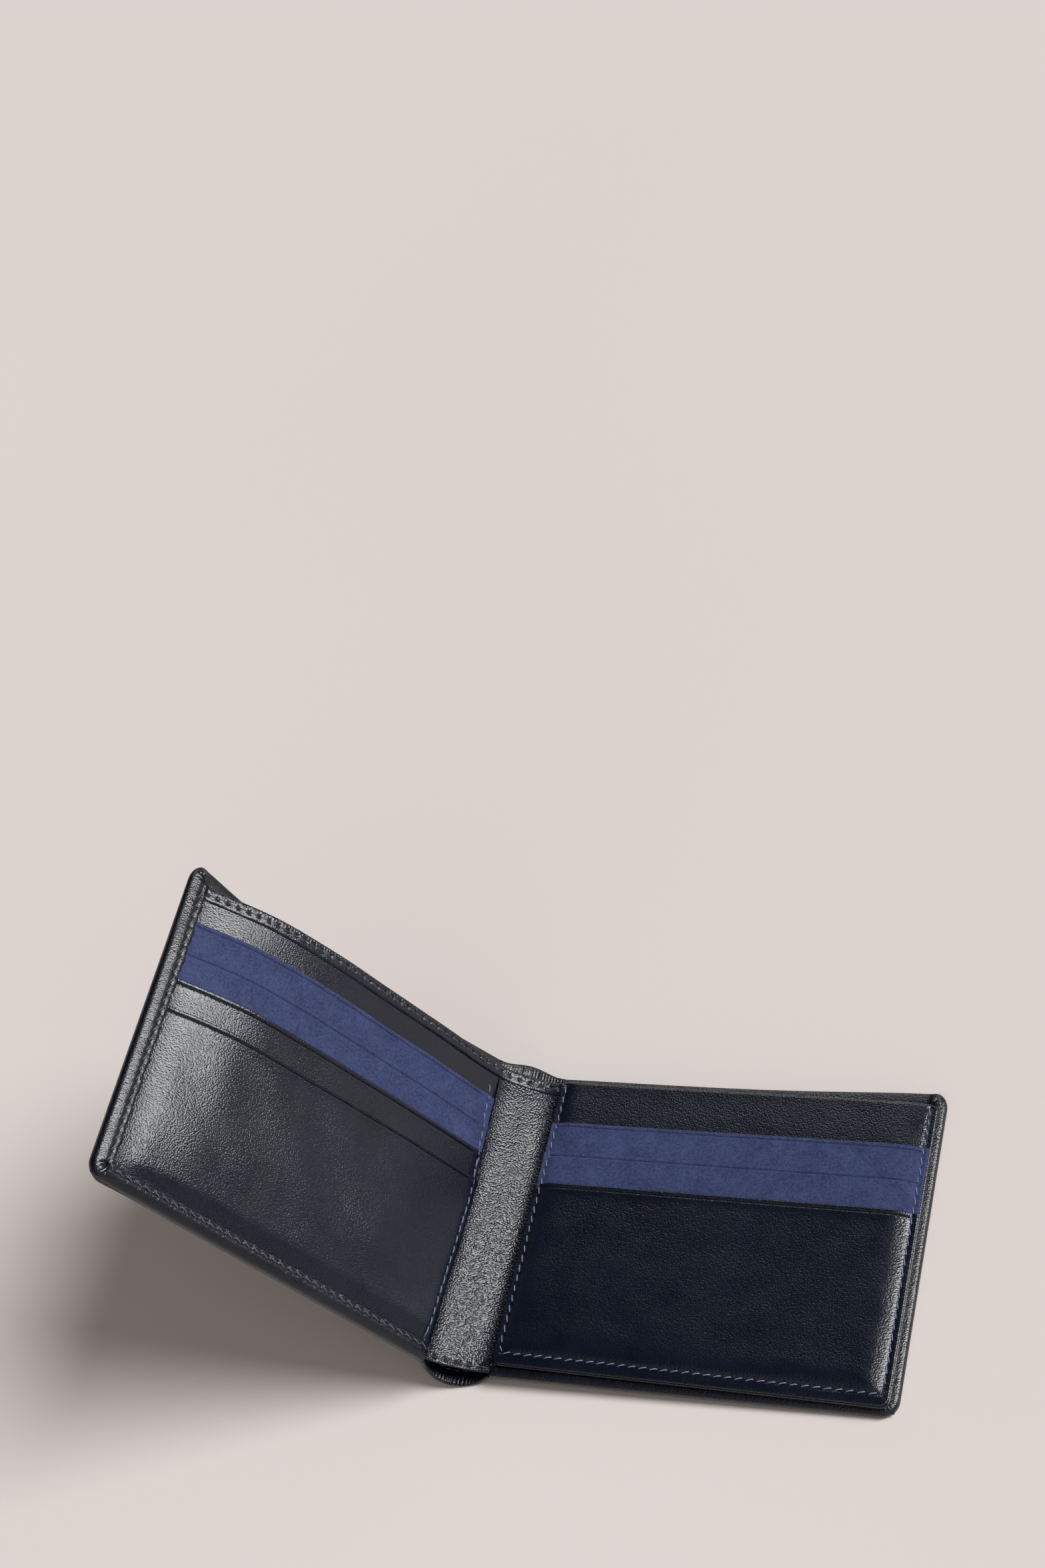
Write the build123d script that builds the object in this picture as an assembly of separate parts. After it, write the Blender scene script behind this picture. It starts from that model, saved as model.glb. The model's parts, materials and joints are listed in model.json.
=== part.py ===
from build123d import *
import os
from math import asin, atan2, cos, degrees, hypot, radians, sin

# Leather billfold wallet standing part open: two covers joined by a soft spine, and a flip leaf
# on the right cover. All lengths are in millimetres and all angles in degrees.
#
# Leaf frame, used by both covers: x runs from the fold line to the outer edge, y along the fold
# line towards the open top of the note compartment, z up from the outer face. The left cover is
# the same leaf mirrored in x. The spine's own frame has its right fold line at x = 0 and z = 0.

# Leaves
LEAF_LENGTH = 112.0
LEAF_HEIGHT = 90.0
CORNER_RADIUS = 4.5
EDGE_ROUND = 0.6
FOLD_GAP = 0.4
SEAT_GAP = 0.05

# How far a cutting block reaches past what it cuts, and how near an edge is to the place it is picked by
CUT = 1.0
NEAR = 0.01

# Folds
SPINE_WIDTH = 17.0
FOLD_HEIGHT = 2.0
REST_FOLD = 30.0
SPINE_BULGE = 8.0

# Layers of a cover
LEATHER = 0.9
BOARD = 0.4
LINING = 0.2
NOTE_GAP = 0.3
PANEL = 0.7
LIP = 0.7
BORDER = 4.0
HEM_WIDTH = 5.0
HEM = 0.4
STRIP_HEM = 0.3
STRIP_INSET = 1.0
PANEL_TOP = 42.2
BINDING = 0.5
BINDING_WIDTH = 4.8

# Card pockets of the left cover: the top edge of each, from the rearmost to the front
LEFT_POCKET_TOPS = (31.7, 23.8, 15.9, 7.8)
POCKET = 0.5
FRONT_POCKET = 0.7
POCKET_START = 1.3
LINING_INSET = 1.0

# Flip leaf, in the right cover's frame
FLAP_START = 2.2
FLAP_END = 110.0
FLAP_BOTTOM = -43.4
FLAP_TOP = 41.9
FLAP_LIFT = 3.5
FLAP_LEATHER = 0.6
FLAP_POCKET = 0.4
FLAP_CORNER = 2.5
FLAP_BOARD_DROP = 1.5
FLAP_POCKET_TOPS = (28.4, 19.1, 9.2)
FLAP_AXIS_X = 0.6
FLAP_AXIS_Z = 3.9
STRIP_LENGTH = 11.0
STRIP_SHARE = 0.4
STRIP_Y = (-38.0, 36.0)

# Stitching
THREAD_WIDTH = 0.6
THREAD = 0.35
THREAD_SINK = 0.25
STITCH_INSET = 1.0
SEAM_INSET = 3.0

# Heights in a cover, from its outer face
BOARD_TOP = LEATHER + BOARD
LINING_TOP = BOARD_TOP + LINING
PANEL_FOOT = LINING_TOP + NOTE_GAP
PANEL_FACE = PANEL_FOOT + PANEL
COVER_TOP = PANEL_FACE + LIP
BINDING_FACE = PANEL_FACE + BINDING
BINDING_FOOT = PANEL_TOP + BINDING - BINDING_WIDTH
HALF_HEIGHT = LEAF_HEIGHT / 2
LIP_X = LEAF_LENGTH - BORDER
LIP_Y = BORDER - HALF_HEIGHT
HEM_FOOT = HALF_HEIGHT - HEM_WIDTH
STACK_FLOOR = LIP_Y + SEAT_GAP


def block(x, y, z):
    """A flat layer; x, y and z are its lowest and highest values."""
    centre = Pos(sum(x) / 2, sum(y) / 2, sum(z) / 2)
    return centre * Box(x[1] - x[0], y[1] - y[0], z[1] - z[0])


def rounded_block(x, y, z, radius, low_end_only=False):
    """A layer with its outer corners rounded, at both y ends or only at the low one."""
    layer = block(x, y, z)
    uprights = layer.edges().filter_by(Axis.Z).filter_by_position(Axis.X, x[1] - NEAR, x[1] + NEAR)
    middle = sum(y) / 2
    chosen = [edge for edge in uprights if edge.center().Y < middle or not low_end_only]
    return fillet(chosen, radius)


def sunk_thread(x, y, face):
    """A straight run of seam thread, pressed into the face that it lies on."""
    return block(x, y, (face - THREAD_SINK, face - THREAD_SINK + THREAD))


def corner_seam(x, y, face):
    """A seam down the outer edge and back along the bottom edge, x and y being its far ends."""
    half = THREAD_WIDTH / 2
    down = sunk_thread((x[1] - half, x[1] + half), (y[0] - half, y[1]), face)
    along = sunk_thread((x[0], x[1] + half), (y[0] - half, y[0] + half), face)
    return down + along


def top_seam(x, y, face):
    """A straight seam along a top edge."""
    return sunk_thread(x, (y - THREAD_WIDTH / 2, y + THREAD_WIDTH / 2), face)


def arc_layer(centre_z, inner, outer, half_angle, y):
    """Part of a tube wall along y, hanging below its centre, which is over the spine's middle."""

    def rim(radius, angle):
        across = radians(angle)
        return Vector(-SPINE_WIDTH / 2 + radius * sin(across), y[0], centre_z - radius * cos(across))

    outline = Wire(
        [
            ThreePointArc(rim(outer, -half_angle), rim(outer, 0), rim(outer, half_angle)).edge(),
            Line(rim(outer, half_angle), rim(inner, half_angle)).edge(),
            ThreePointArc(rim(inner, half_angle), rim(inner, 0), rim(inner, -half_angle)).edge(),
            Line(rim(inner, -half_angle), rim(outer, -half_angle)).edge(),
        ]
    )
    return Solid.extrude(Face(outline), Vector(0, y[1] - y[0], 0))


# ---- covers ----


def outer_leather(threads):
    """Cover leather with its edges turned onto the inner face, and a hem along the open top."""
    leaf_x = (FOLD_GAP, LEAF_LENGTH)
    leaf_y = (-HALF_HEIGHT, HALF_HEIGHT)
    hide = rounded_block(leaf_x, leaf_y, (0, COVER_TOP), CORNER_RADIUS)
    past_fold = [edge for edge in hide.edges() if edge.center().X > FOLD_GAP + NEAR]
    rims = [edge for edge in past_fold if not NEAR < edge.center().Z < COVER_TOP - NEAR]
    hide = fillet(rims, EDGE_ROUND)
    hollow = rounded_block(
        (0, LEAF_LENGTH - LEATHER),
        (LEATHER - HALF_HEIGHT, HALF_HEIGHT + CUT),
        (LEATHER, PANEL_FACE),
        CORNER_RADIUS - LEATHER,
        low_end_only=True,
    )
    window = block((0, LIP_X), (LIP_Y, HALF_HEIGHT + CUT), (PANEL_FACE, COVER_TOP + CUT))
    hem_y = (HEM_FOOT, HALF_HEIGHT - EDGE_ROUND)
    hem = block((FOLD_GAP, LEAF_LENGTH - CORNER_RADIUS), hem_y, (LEATHER, LEATHER + HEM))
    hide = hide - hollow - window + hem
    for thread in threads:
        hide = hide - thread
    return hide


def stiffener():
    inset = LEATHER + SEAT_GAP
    return rounded_block(
        (SEAM_INSET, LEAF_LENGTH - inset),
        (inset - HALF_HEIGHT, HEM_FOOT - SEAT_GAP),
        (LEATHER, BOARD_TOP),
        CORNER_RADIUS - LEATHER,
        low_end_only=True,
    )


def note_lining():
    inset = LEATHER + SEAT_GAP
    return rounded_block(
        (FOLD_GAP, LEAF_LENGTH - inset),
        (inset - HALF_HEIGHT, HEM_FOOT - SEAT_GAP),
        (BOARD_TOP, LINING_TOP),
        CORNER_RADIUS - LEATHER,
        low_end_only=True,
    )


def inner_panel():
    inset = LEATHER + SEAT_GAP
    return rounded_block(
        (FOLD_GAP, LEAF_LENGTH - inset),
        (inset - HALF_HEIGHT, PANEL_TOP),
        (PANEL_FOOT, PANEL_FACE),
        CORNER_RADIUS - LEATHER,
        low_end_only=True,
    )


def top_binding(thread):
    """A strip on the panel's face that turns over its top edge."""
    x = (FOLD_GAP, LIP_X - SEAT_GAP)
    face = block(x, (BINDING_FOOT, PANEL_TOP + BINDING), (PANEL_FACE, BINDING_FACE))
    cap = block(x, (PANEL_TOP, PANEL_TOP + BINDING), (PANEL_FOOT, PANEL_FACE))
    return face + cap - thread


def cover_pieces():
    """The pieces that both covers have, in the leaf frame."""
    border_x = (FOLD_GAP, LIP_X + STITCH_INSET)
    border_y = (LIP_Y - STITCH_INSET, HALF_HEIGHT - CORNER_RADIUS)
    border_thread = corner_seam(border_x, border_y, COVER_TOP)
    hem_thread = top_seam((FOLD_GAP, LIP_X), HEM_FOOT + STITCH_INSET, LEATHER + HEM)
    binding_thread = top_seam((FOLD_GAP, LIP_X - SEAT_GAP), BINDING_FOOT + BINDING_WIDTH / 2, BINDING_FACE)
    return {
        "outer_leather": outer_leather([border_thread, hem_thread]),
        "stiffener": stiffener(),
        "note_lining": note_lining(),
        "inner_panel": inner_panel(),
        "top_binding": top_binding(binding_thread),
        "border_thread": border_thread,
        "hem_thread": hem_thread,
        "binding_thread": binding_thread,
    }


# ---- card pockets ----


def pocket_stack(x, floor, tops, foot, steps):
    """Card pockets laid one over the next, each with its top edge lower than the one behind."""
    pockets = []
    for top, step in zip(tops, steps):
        pockets.append(block(x, (floor, top), (foot, foot + step)))
        foot += step
    return pockets


def stepped_seam(x, pockets, floor):
    """A seam down the side of a pocket stack: one run of thread on each pocket's showing strip."""
    half = THREAD_WIDTH / 2
    feet = [pocket.bounding_box().max.Y for pocket in pockets[1:]] + [floor]
    runs = []
    for pocket, foot in zip(pockets, feet):
        box = pocket.bounding_box()
        runs.append(sunk_thread((x - half, x + half), (foot, box.max.Y - half), box.max.Z))
    return runs


def left_pocket_pieces():
    x = (POCKET_START, LIP_X - SEAT_GAP)
    lining_z = (PANEL_FACE, PANEL_FACE + LINING)
    lining_x = (POCKET_START + LINING_INSET, x[1])
    lining = block(lining_x, (STACK_FLOOR, LEFT_POCKET_TOPS[0] - LINING_INSET), lining_z)
    steps = [POCKET] * (len(LEFT_POCKET_TOPS) - 1) + [FRONT_POCKET]
    pockets = pocket_stack(x, STACK_FLOOR, LEFT_POCKET_TOPS, lining_z[1], steps)
    seam = stepped_seam(POCKET_START + SEAM_INSET, pockets, STACK_FLOOR + STITCH_INSET)
    pieces = {"pocket_lining": lining, "pocket_thread": Compound(seam)}
    for number, (pocket, run) in enumerate(zip(pockets, seam), 1):
        pieces[f"pocket_{number}"] = pocket - run
    return pieces


# ---- flip leaf ----


def flap_wrap():
    """The leaf's leather: up the back, over the top edge in a round fold, and down the front."""
    x = (FLAP_START, FLAP_END)
    inside = BOARD + LINING
    depth = 2 * FLAP_LEATHER + inside
    back = block(x, (FLAP_BOTTOM, FLAP_TOP - depth / 2), (FLAP_LIFT, FLAP_LIFT + FLAP_LEATHER))
    front = back.moved(Pos(0, 0, depth - FLAP_LEATHER))
    fold_place = Pos((x[0] + x[1]) / 2, FLAP_TOP - depth / 2, FLAP_LIFT + depth / 2) * Rot(0, 90, 0)
    fold = fold_place * (Cylinder(depth / 2, x[1] - x[0]) - Cylinder(inside / 2, x[1] - x[0]))
    unused_half = (FLAP_TOP - 2 * depth, FLAP_TOP - depth / 2)
    fold = fold - block(x, unused_half, (FLAP_LIFT - CUT, FLAP_LIFT + 2 * depth))
    return back + front + fold


def flap_hinge_strip():
    """A strip folded in half along the flap's spine side: one half on the cover, one on the flap."""
    foot = PANEL_FACE + 2 * SEAT_GAP
    depth = FLAP_LIFT - foot
    leg = STRIP_SHARE * depth
    x = (FOLD_GAP + 2 * depth, FOLD_GAP + STRIP_LENGTH)
    lower = block(x, STRIP_Y, (foot, foot + leg))
    upper = block(x, STRIP_Y, (FLAP_LIFT - leg, FLAP_LIFT))
    bend = block((x[0] - leg, x[0]), STRIP_Y, (foot, FLAP_LIFT))
    return lower + upper + bend


def flap_pieces():
    x = (FLAP_START, FLAP_END)
    inner_x = (FLAP_START + LINING_INSET, FLAP_END - LINING_INSET)
    board_foot = FLAP_LIFT + FLAP_LEATHER
    board_y = (FLAP_BOTTOM + LINING_INSET, FLAP_TOP - FLAP_BOARD_DROP)
    board = block(inner_x, board_y, (board_foot, board_foot + BOARD))
    lining = block(inner_x, board_y, (board_foot + BOARD, board_foot + BOARD + LINING))
    face = board_foot + BOARD + LINING + FLAP_LEATHER
    steps = (FLAP_POCKET, FLAP_POCKET, FLAP_LEATHER)
    pockets = pocket_stack(x, FLAP_BOTTOM, FLAP_POCKET_TOPS, face, steps)
    wrap = flap_wrap()
    shown = [block(x, (FLAP_BOTTOM, FLAP_TOP - STITCH_INSET), (face - FLAP_LEATHER, face))] + pockets
    seam_floor = FLAP_BOTTOM + SEAM_INSET
    near_seam = stepped_seam(FLAP_START + SEAM_INSET, shown, seam_floor)
    far_seam = stepped_seam(FLAP_END - SEAM_INSET, shown, seam_floor)
    front_face = pockets[-1].bounding_box().max.Z
    half = THREAD_WIDTH / 2
    foot_x = (FLAP_START + SEAM_INSET - half, FLAP_END - SEAM_INSET + half)
    foot_seam = top_seam(foot_x, seam_floor - half, front_face)
    seam = [foot_seam] + near_seam + far_seam
    trim = rounded_block(
        (FLAP_START - CUT, FLAP_END),
        (FLAP_BOTTOM, FLAP_TOP + CUT),
        (0, 2 * front_face),
        FLAP_CORNER,
        low_end_only=True,
    )
    return {
        "flap_wrap_leather": (wrap - near_seam[0] - far_seam[0]) & trim,
        "flap_stiffener": board,
        "flap_lining": lining,
        "flap_pocket_1": (pockets[0] - near_seam[1] - far_seam[1]) & trim,
        "flap_pocket_2": (pockets[1] - near_seam[2] - far_seam[2]) & trim,
        "flap_front_pocket": (pockets[2] - near_seam[3] - far_seam[3] - foot_seam) & trim,
        "flap_seam_thread": Compound(seam),
        "flap_hinge_strip": flap_hinge_strip(),
    }


# ---- spine ----


def bulge_circle():
    """The outer leather's arc over the spine: its radius, its centre's height and its half angle."""
    lean = radians(REST_FOLD)
    half_chord = SPINE_WIDTH / 2 + FOLD_HEIGHT * sin(lean)
    radius = (half_chord**2 + SPINE_BULGE**2) / 2 / SPINE_BULGE
    centre_z = radius - SPINE_BULGE - FOLD_HEIGHT * cos(lean)
    return radius, centre_z, degrees(asin(half_chord / radius))


def spine_pieces():
    """Inner layers follow one arc that meets both covers smoothly; the outer leather bulges out."""
    fold_radius = SPINE_WIDTH / 2 / sin(radians(REST_FOLD))
    centre_z = fold_radius * cos(radians(REST_FOLD))

    def inner_layer(low, high, y):
        heights = (fold_radius + FOLD_HEIGHT - high, fold_radius + FOLD_HEIGHT - low)
        return arc_layer(centre_z, heights[0], heights[1], REST_FOLD, y)

    half = THREAD_WIDTH / 2
    leaf_y = (-HALF_HEIGHT, HALF_HEIGHT)
    strip_foot = STRIP_INSET - HALF_HEIGHT
    strip_seam_y = strip_foot + STITCH_INSET + half
    binding_seam_y = BINDING_FOOT + BINDING_WIDTH / 2
    hem_seam_y = HEM_FOOT + STITCH_INSET

    strip_thread = inner_layer(
        PANEL_FACE - THREAD_SINK,
        PANEL_FACE - THREAD_SINK + THREAD,
        (strip_seam_y - half, strip_seam_y + half),
    )
    binding_thread = inner_layer(
        BINDING_FACE - THREAD_SINK,
        BINDING_FACE - THREAD_SINK + THREAD,
        (binding_seam_y - half, binding_seam_y + half),
    )
    strip = inner_layer(PANEL_FOOT, PANEL_FACE, (strip_foot, PANEL_TOP))
    strip = strip + inner_layer(PANEL_FOOT - STRIP_HEM, PANEL_FOOT, (strip_foot, strip_foot + HEM_WIDTH))
    binding = inner_layer(PANEL_FACE, BINDING_FACE, (BINDING_FOOT, PANEL_TOP + BINDING))
    binding = binding + inner_layer(PANEL_FOOT, PANEL_FACE, (PANEL_TOP, PANEL_TOP + BINDING))

    bulge_radius, bulge_centre, bulge_angle = bulge_circle()

    def outer_layer(low, high, y):
        return arc_layer(bulge_centre, bulge_radius - high, bulge_radius - low, bulge_angle, y)

    hide = outer_layer(0, LEATHER, leaf_y)
    hem_threads = []
    for side in (-1, 1):
        hem_y = sorted((side * HEM_FOOT, side * HALF_HEIGHT))
        seam_y = side * hem_seam_y
        thread = outer_layer(
            LEATHER + HEM - THREAD_SINK, LEATHER + HEM - THREAD_SINK + THREAD, (seam_y - half, seam_y + half)
        )
        hide = hide + outer_layer(LEATHER, LEATHER + HEM, hem_y) - thread
        hem_threads.append(thread)
    lining_y = (SEAT_GAP - HEM_FOOT, HEM_FOOT - SEAT_GAP)
    return {
        "spine_outer_leather": hide,
        "spine_note_lining": outer_layer(LEATHER, LEATHER + LINING, lining_y),
        "spine_inner_strip": strip - strip_thread,
        "spine_top_binding": binding - binding_thread,
        "spine_strip_thread": strip_thread,
        "spine_binding_thread": binding_thread,
        "spine_hem_thread": Compound(hem_threads),
    }


def resting_tilt():
    """The turn about y that sets the spine's bulge and the right cover's outer edge level."""
    lean = radians(REST_FOLD)
    radius, drop, _ = bulge_circle()
    centre_x = -SPINE_WIDTH / 2 * cos(lean) + drop * sin(lean)
    centre_z = FOLD_HEIGHT + SPINE_WIDTH / 2 * sin(lean) + drop * cos(lean)
    run = LEAF_LENGTH - EDGE_ROUND - centre_x
    rise = centre_z - EDGE_ROUND
    tilt = asin((radius - EDGE_ROUND) / hypot(run, rise)) - atan2(rise, run)
    lowest = -centre_x * sin(tilt) + centre_z * cos(tilt) - radius
    return degrees(tilt), lowest


# ---- assembly at rest: the left cover stands twice REST_FOLD up from flat ----

tilt, lowest = resting_tilt()
table = Pos(0, 0, -lowest) * Rot(0, tilt, 0)
right_fold = table * Pos(0, 0, FOLD_HEIGHT)
spine_place = right_fold * Rot(0, REST_FOLD, 0)
left_fold = spine_place * Pos(-SPINE_WIDTH, 0, 0)
left_place = left_fold * Rot(0, REST_FOLD, 0) * Pos(0, 0, -FOLD_HEIGHT)
flap_fold = table * Pos(FLAP_AXIS_X, 0, FLAP_AXIS_Z)

nodes = {}
for name, piece in cover_pieces().items():
    nodes["right_" + name] = table * piece
    nodes["left_" + name] = left_place * mirror(piece, about=Plane.YZ)
for name, piece in left_pocket_pieces().items():
    nodes["left_" + name] = left_place * mirror(piece, about=Plane.YZ)
for name, piece in flap_pieces().items():
    nodes[name] = table * piece
for name, piece in spine_pieces().items():
    nodes[name] = spine_place * piece

# The origin is the middle of the footprint, on the surface that the wallet stands on.
box = Compound(list(nodes.values())).bounding_box()
origin = Pos(-(box.min.X + box.max.X) / 2, 0, -box.min.Z)

os.makedirs("parts", exist_ok=True)
for name, piece in nodes.items():
    export_step(origin * piece, f"parts/{name}.step")

# The joints' axes run along y through these points.
for name, place in (("right fold", right_fold), ("left fold", left_fold), ("flap fold", flap_fold)):
    print(name, (origin * place).position)
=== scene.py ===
import json
from math import cos, pi, radians, sin

import bpy
import numpy as np
from mathutils import Matrix, Vector

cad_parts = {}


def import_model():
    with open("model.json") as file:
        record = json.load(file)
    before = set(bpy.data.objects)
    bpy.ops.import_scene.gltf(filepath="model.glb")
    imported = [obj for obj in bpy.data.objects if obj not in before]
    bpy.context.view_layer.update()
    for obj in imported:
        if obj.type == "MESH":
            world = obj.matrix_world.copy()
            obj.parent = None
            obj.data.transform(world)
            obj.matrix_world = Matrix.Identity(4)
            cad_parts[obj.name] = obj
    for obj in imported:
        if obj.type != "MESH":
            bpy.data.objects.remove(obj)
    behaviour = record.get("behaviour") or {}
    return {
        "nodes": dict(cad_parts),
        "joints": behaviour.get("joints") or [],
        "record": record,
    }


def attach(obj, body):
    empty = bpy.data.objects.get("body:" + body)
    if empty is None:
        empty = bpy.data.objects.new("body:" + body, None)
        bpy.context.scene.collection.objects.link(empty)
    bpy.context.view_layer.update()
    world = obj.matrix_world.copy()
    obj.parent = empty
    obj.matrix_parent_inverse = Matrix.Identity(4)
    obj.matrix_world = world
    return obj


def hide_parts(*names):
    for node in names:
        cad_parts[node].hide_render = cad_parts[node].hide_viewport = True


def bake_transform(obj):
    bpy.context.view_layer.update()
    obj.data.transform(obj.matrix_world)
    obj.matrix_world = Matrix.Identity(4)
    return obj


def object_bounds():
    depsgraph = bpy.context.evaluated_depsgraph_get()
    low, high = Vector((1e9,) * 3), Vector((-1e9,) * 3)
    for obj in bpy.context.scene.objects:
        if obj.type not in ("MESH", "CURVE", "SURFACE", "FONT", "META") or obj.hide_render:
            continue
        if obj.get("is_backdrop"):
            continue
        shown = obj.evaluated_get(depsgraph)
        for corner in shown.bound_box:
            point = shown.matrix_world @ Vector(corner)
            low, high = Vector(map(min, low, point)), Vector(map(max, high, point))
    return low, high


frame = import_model()
CAD_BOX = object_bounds()
MM = 0.001
RNG = np.random.default_rng(11)

# ---------------------------------------------------------------- frames of the three leaves
# A leaf frame has u away from the fold, v along the fold and h out of the leaf's inner face, in mm.

JOINTS = {joint["name"]: joint for joint in frame["joints"]}
UNDERSIDE = frame["record"]["mounts"][0]
ALONG = np.array((0.0, 1.0, 0.0))
RIGHT_FOLD = np.array(JOINTS["spine_fold"]["pos_m"])
LEFT_FOLD = np.array(JOINTS["cover_fold"]["pos_m"])
RIGHT_H = -np.array(UNDERSIDE["axis"])
RIGHT_U = np.cross(ALONG, RIGHT_H)
FOLD_HEIGHT = (RIGHT_FOLD - np.array(UNDERSIDE["pos_m"])) @ RIGHT_H
SPINE_U = (LEFT_FOLD - RIGHT_FOLD) / np.linalg.norm(LEFT_FOLD - RIGHT_FOLD)
LEFT_U = RIGHT_U - 2 * (RIGHT_U @ SPINE_U) * SPINE_U
LEFT_H = np.cross(ALONG, LEFT_U)
SPINE_WIDTH = np.linalg.norm(LEFT_FOLD - RIGHT_FOLD) / MM


def smooth(x, low, high):
    t = np.clip((x - low) / (high - low), 0, 1)
    return t * t * (3 - 2 * t)


class Leaf:
    """A flat frame: origin on the outer face at the fold line, and its u and h axes."""

    def __init__(self, fold, u, h, skew, level_u):
        self.origin = fold - h * FOLD_HEIGHT
        self.axes = np.array((u, ALONG, h))
        self.skew, self.level_u = skew, level_u

    def lower_shift(self, u, v):
        """The lower edge isn't quite square to the fold line."""
        return self.skew * (u - self.level_u) * smooth(-v, -5.0, 42.0)

    def world(self, points):
        points = np.array(points, float)
        points[:, 1] += self.lower_shift(points[:, 0], points[:, 1])
        return self.origin + points @ self.axes * MM

    def local(self, node):
        """Lowest and highest u, v and h of a CAD node."""
        co = np.array([vert.co for vert in frame["nodes"][node].data.vertices])
        local = (co - self.origin) @ self.axes.T / MM
        return local.min(0), local.max(0)


RIGHT = Leaf(RIGHT_FOLD, RIGHT_U, RIGHT_H, 0.006, 110)
LEFT = Leaf(LEFT_FOLD, LEFT_U, LEFT_H, 0.028, 66)

_, COVER_MAX = RIGHT.local("right_outer_leather")
PANEL_MIN, PANEL_MAX = RIGHT.local("right_inner_panel")
BINDING_MIN, BINDING_MAX = RIGHT.local("right_top_binding")
BOARD_MIN, _ = RIGHT.local("right_stiffener")
_, LINING_MAX = RIGHT.local("right_note_lining")
LENGTH, HALF, COVER_TOP = COVER_MAX
LEATHER = BOARD_MIN[2]
PANEL_FOOT, PANEL_FACE = PANEL_MIN[2], PANEL_MAX[2]
BORDER, BORDER_LOW = 5.6, 4.9  # the turned border's width at the outer edge and at the bottom
CORNER = 4.5
HEM_WIDTH = HALF - LINING_MAX[1]
HEM = 0.4
HEM_ROW = 41.0  # where the hem's stitches run
U_JOIN = 0.6


# ---------------------------------------------------------------- mesh helpers


def bump(x, centre, width):
    """A smooth ridge of height 1."""
    return np.exp(-(((x - centre) / width) ** 2))


def run_along(line):
    """Distance along a line of points, from its first one to each."""
    return np.concatenate([[0], np.cumsum(np.hypot(*np.diff(line, axis=0).T))])


def resample(places, run, columns):
    """A line's columns, read at other places along its run."""
    return np.column_stack([np.interp(places, run, column) for column in columns.T])


def side_normals(line):
    """Unit vectors square to a line of points, on its right-hand side."""
    tangent = np.gradient(line, axis=0)
    tangent /= np.linalg.norm(tangent, axis=1)[:, None]
    return np.column_stack([tangent[:, 1], -tangent[:, 0]])


def signed_volume(mesh):
    """Volume of a closed mesh, negative where its faces point inwards."""
    mesh.calc_loop_triangles()
    corners = np.empty(len(mesh.loop_triangles) * 3, dtype=np.int64)
    mesh.loop_triangles.foreach_get("vertices", corners)
    co = np.empty(len(mesh.vertices) * 3)
    mesh.vertices.foreach_get("co", co)
    co = co.reshape(-1, 3)
    a, b, c = (co - co.mean(0))[corners.reshape(-1, 3)].transpose(1, 0, 2)
    return float((a * np.cross(b, c)).sum()) / 6


def mesh_object(name, verts, faces, material, smooth_angle=40):
    mesh = bpy.data.meshes.new(name)
    mesh.from_pydata([tuple(v) for v in verts], [], faces)
    if signed_volume(mesh) < 0:
        mesh.flip_normals()
    mesh.update()
    obj = bpy.data.objects.new(name, mesh)
    bpy.context.scene.collection.objects.link(obj)
    for item in material if isinstance(material, (list, tuple)) else [material]:
        mesh.materials.append(item)
    mesh.polygons.foreach_set("use_smooth", [True] * len(mesh.polygons))
    mesh.set_sharp_from_angle(angle=radians(smooth_angle))
    return obj


def finish_piece(obj, slot, body=None, nodes=()):
    """Hangs a piece on the body it rides on and hides the CAD nodes it stands for; slot is not used."""
    if body:
        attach(obj, body)
    if nodes:
        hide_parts(*nodes)


def ruling(low, high, step, fine, edge):
    """Grid lines from low to high, closer together at the ends and around each place in fine."""
    rows = list(np.linspace(low, high, max(3, int(round((high - low) / step)) + 1)))
    for share in (0.05, 0.15, 0.3, 0.5, 0.75, 1.0, 1.6):
        rows += [low + edge * share, high - edge * share]
    for place in fine:
        rows += [place + step_off for step_off in (-0.9, -0.5, -0.3, -0.15, 0, 0.15, 0.3, 0.5, 0.9)]
    rows = sorted(row for row in rows if low <= row <= high)
    kept = [rows[0]]
    for row in rows[1:-1]:
        if row - kept[-1] > 0.02 and high - row > 0.02:
            kept.append(row)
    return np.array(kept + [rows[-1]])


def grid_faces(count_u, count_v, start=0, flip=False):
    faces = []
    for i in range(count_u - 1):
        for j in range(count_v - 1):
            a = start + i * count_v + j
            quad = (a, a + count_v, a + count_v + 1, a + 1)
            faces.append(quad[::-1] if flip else quad)
    return faces


def boundary(count_u, count_v):
    """Indices round a grid's edge, anticlockwise seen from above."""
    low = [i * count_v for i in range(count_u)]
    right = [(count_u - 1) * count_v + j for j in range(1, count_v)]
    top = [i * count_v + count_v - 1 for i in range(count_u - 2, -1, -1)]
    left = [j for j in range(count_v - 2, 0, -1)]
    return low + right + top + left


def closed_grid(count_u, count_v):
    """Faces of two grids, the upper one first, closed round their edges."""
    count = count_u * count_v
    faces = grid_faces(count_u, count_v) + grid_faces(count_u, count_v, count, True)
    rim = boundary(count_u, count_v)
    return faces + [(b, a, a + count, b + count) for a, b in zip(rim, rim[1:] + rim[:1])]


def pocket_edge(v, top):
    """A layer rises a little towards its top edge."""
    return 0.20 * smooth(v, top - 3.5, top - 0.9)


def roll(distance, radius):
    """How far a rounded edge has dropped at a distance in from it."""
    inside = np.clip(distance, 0, radius)
    return radius - np.sqrt(np.maximum(radius**2 - (radius - inside) ** 2, 0))


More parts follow.
